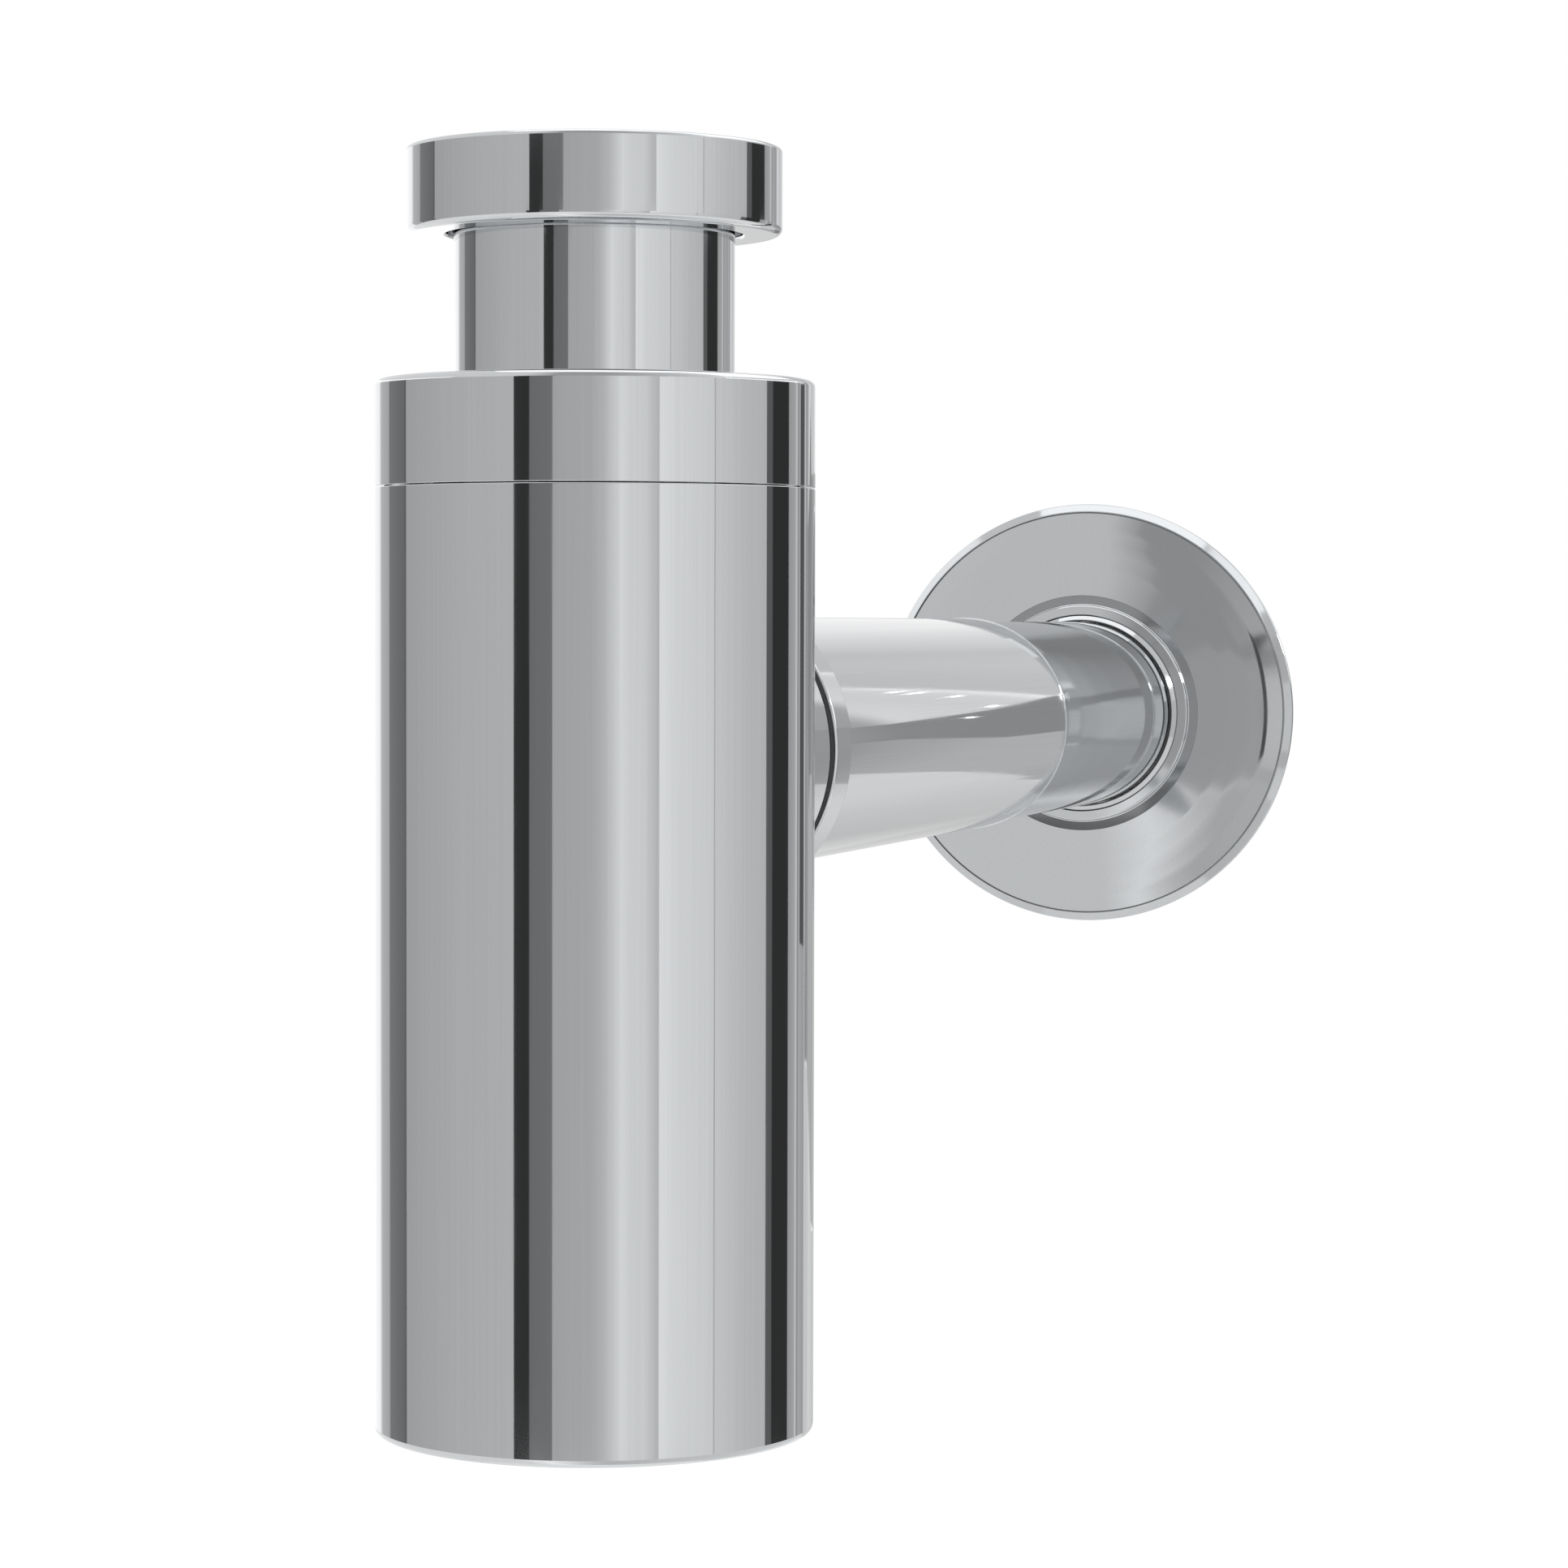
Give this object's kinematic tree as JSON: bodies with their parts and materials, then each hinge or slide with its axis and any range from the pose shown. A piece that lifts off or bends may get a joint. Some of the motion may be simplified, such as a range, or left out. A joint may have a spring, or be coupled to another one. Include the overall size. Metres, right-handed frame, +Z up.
{
  "type": "sink trap",
  "caption": "Chromed bottle trap with a union nut inlet, a screwed head cap, an outlet arm in sliding cover sleeves and a wall rosette.",
  "frame": {"origin": "on the inlet axis at the foot of the inlet nut's free thread, just above the gasket", "axes": "+Z up the inlet into the waste, +Y along the outlet arm to the wall, +X to the right seen from the front"},
  "size_m": [0.085, 0.393, 0.1742],
  "materials": {
    "chrome": "bright chrome plate on brass",
    "brass": "turned, plain",
    "rubber": "moulded black rubber",
    "white_plastic": "moulded polyethylene"
  },
  "bodies": {
    "inlet": {"inlet_tube": "chrome", "inlet_gasket": "rubber"},
    "inlet_nut": {"inlet_union_nut": "chrome"},
    "inlet_seal": {"inlet_cone_seal": "rubber", "inlet_slip_ring": "white_plastic"},
    "trap": {"body_shell": "chrome", "body_collar": "brass", "outlet_boss": "chrome", "outlet_stop_ring": "rubber", "outlet_cone_seal": "rubber", "outlet_slip_ring": "white_plastic"},
    "cap": {"head_cap": "chrome", "inlet_cover_sleeve": "chrome", "inlet_sleeve_ring": "rubber"},
    "plug": {"cleaning_plug": "chrome", "cleaning_plug_seal": "rubber"},
    "outlet_nut": {"outlet_union_nut": "chrome"},
    "wall_pipe": {"wall_tube": "chrome"},
    "arm_sleeve": {"arm_cover_sleeve": "chrome", "arm_sleeve_ring_near": "rubber", "arm_sleeve_ring_far": "rubber"},
    "wall_sleeve": {"wall_cover_sleeve": "chrome", "wall_sleeve_ring_near": "rubber", "wall_sleeve_ring_far": "rubber"},
    "rosette": {"rosette": "chrome", "rosette_grip_ring": "white_plastic"}
  },
  "joints": [
    {"name": "inlet_nut_turn", "type": "hinge", "parent": "inlet", "child": "inlet_nut", "pos_m": [0, 0, 0], "axis": [0, 0, 1], "continuous": true},
    {"name": "height_adjust", "type": "slide", "parent": "inlet", "child": "inlet_seal", "axis": [0, 0, 1], "range_m": [-0.025, 0]},
    {"name": "trap_swivel", "type": "hinge", "parent": "inlet_seal", "child": "trap", "pos_m": [0, 0, -0.0771], "axis": [0, 0, 1], "continuous": true},
    {"name": "head_cap_turn", "type": "hinge", "parent": "trap", "child": "cap", "pos_m": [0, 0, -0.03335], "axis": [0, 0, 1], "continuous": true},
    {"name": "cleaning_plug_turn", "type": "hinge", "parent": "trap", "child": "plug", "pos_m": [0, 0, -0.165], "axis": [0, 0, 1], "continuous": true},
    {"name": "outlet_nut_turn", "type": "hinge", "parent": "trap", "child": "outlet_nut", "pos_m": [0, 0.042, -0.0771], "axis": [0, 1, 0], "continuous": true},
    {"name": "wall_pipe_slide", "type": "slide", "parent": "trap", "child": "wall_pipe", "axis": [0, 1, 0], "range_m": [-0.008, 0.0065]},
    {"name": "arm_sleeve_slide", "type": "slide", "parent": "trap", "child": "arm_sleeve", "axis": [0, 1, 0], "range_m": [0, 0.09]},
    {"name": "wall_sleeve_slide", "type": "slide", "parent": "wall_pipe", "child": "wall_sleeve", "axis": [0, 1, 0], "range_m": [-0.04, 0]},
    {"name": "rosette_slide", "type": "slide", "parent": "wall_sleeve", "child": "rosette", "axis": [0, 1, 0], "range_m": [-0.045, 0]}
  ]
}
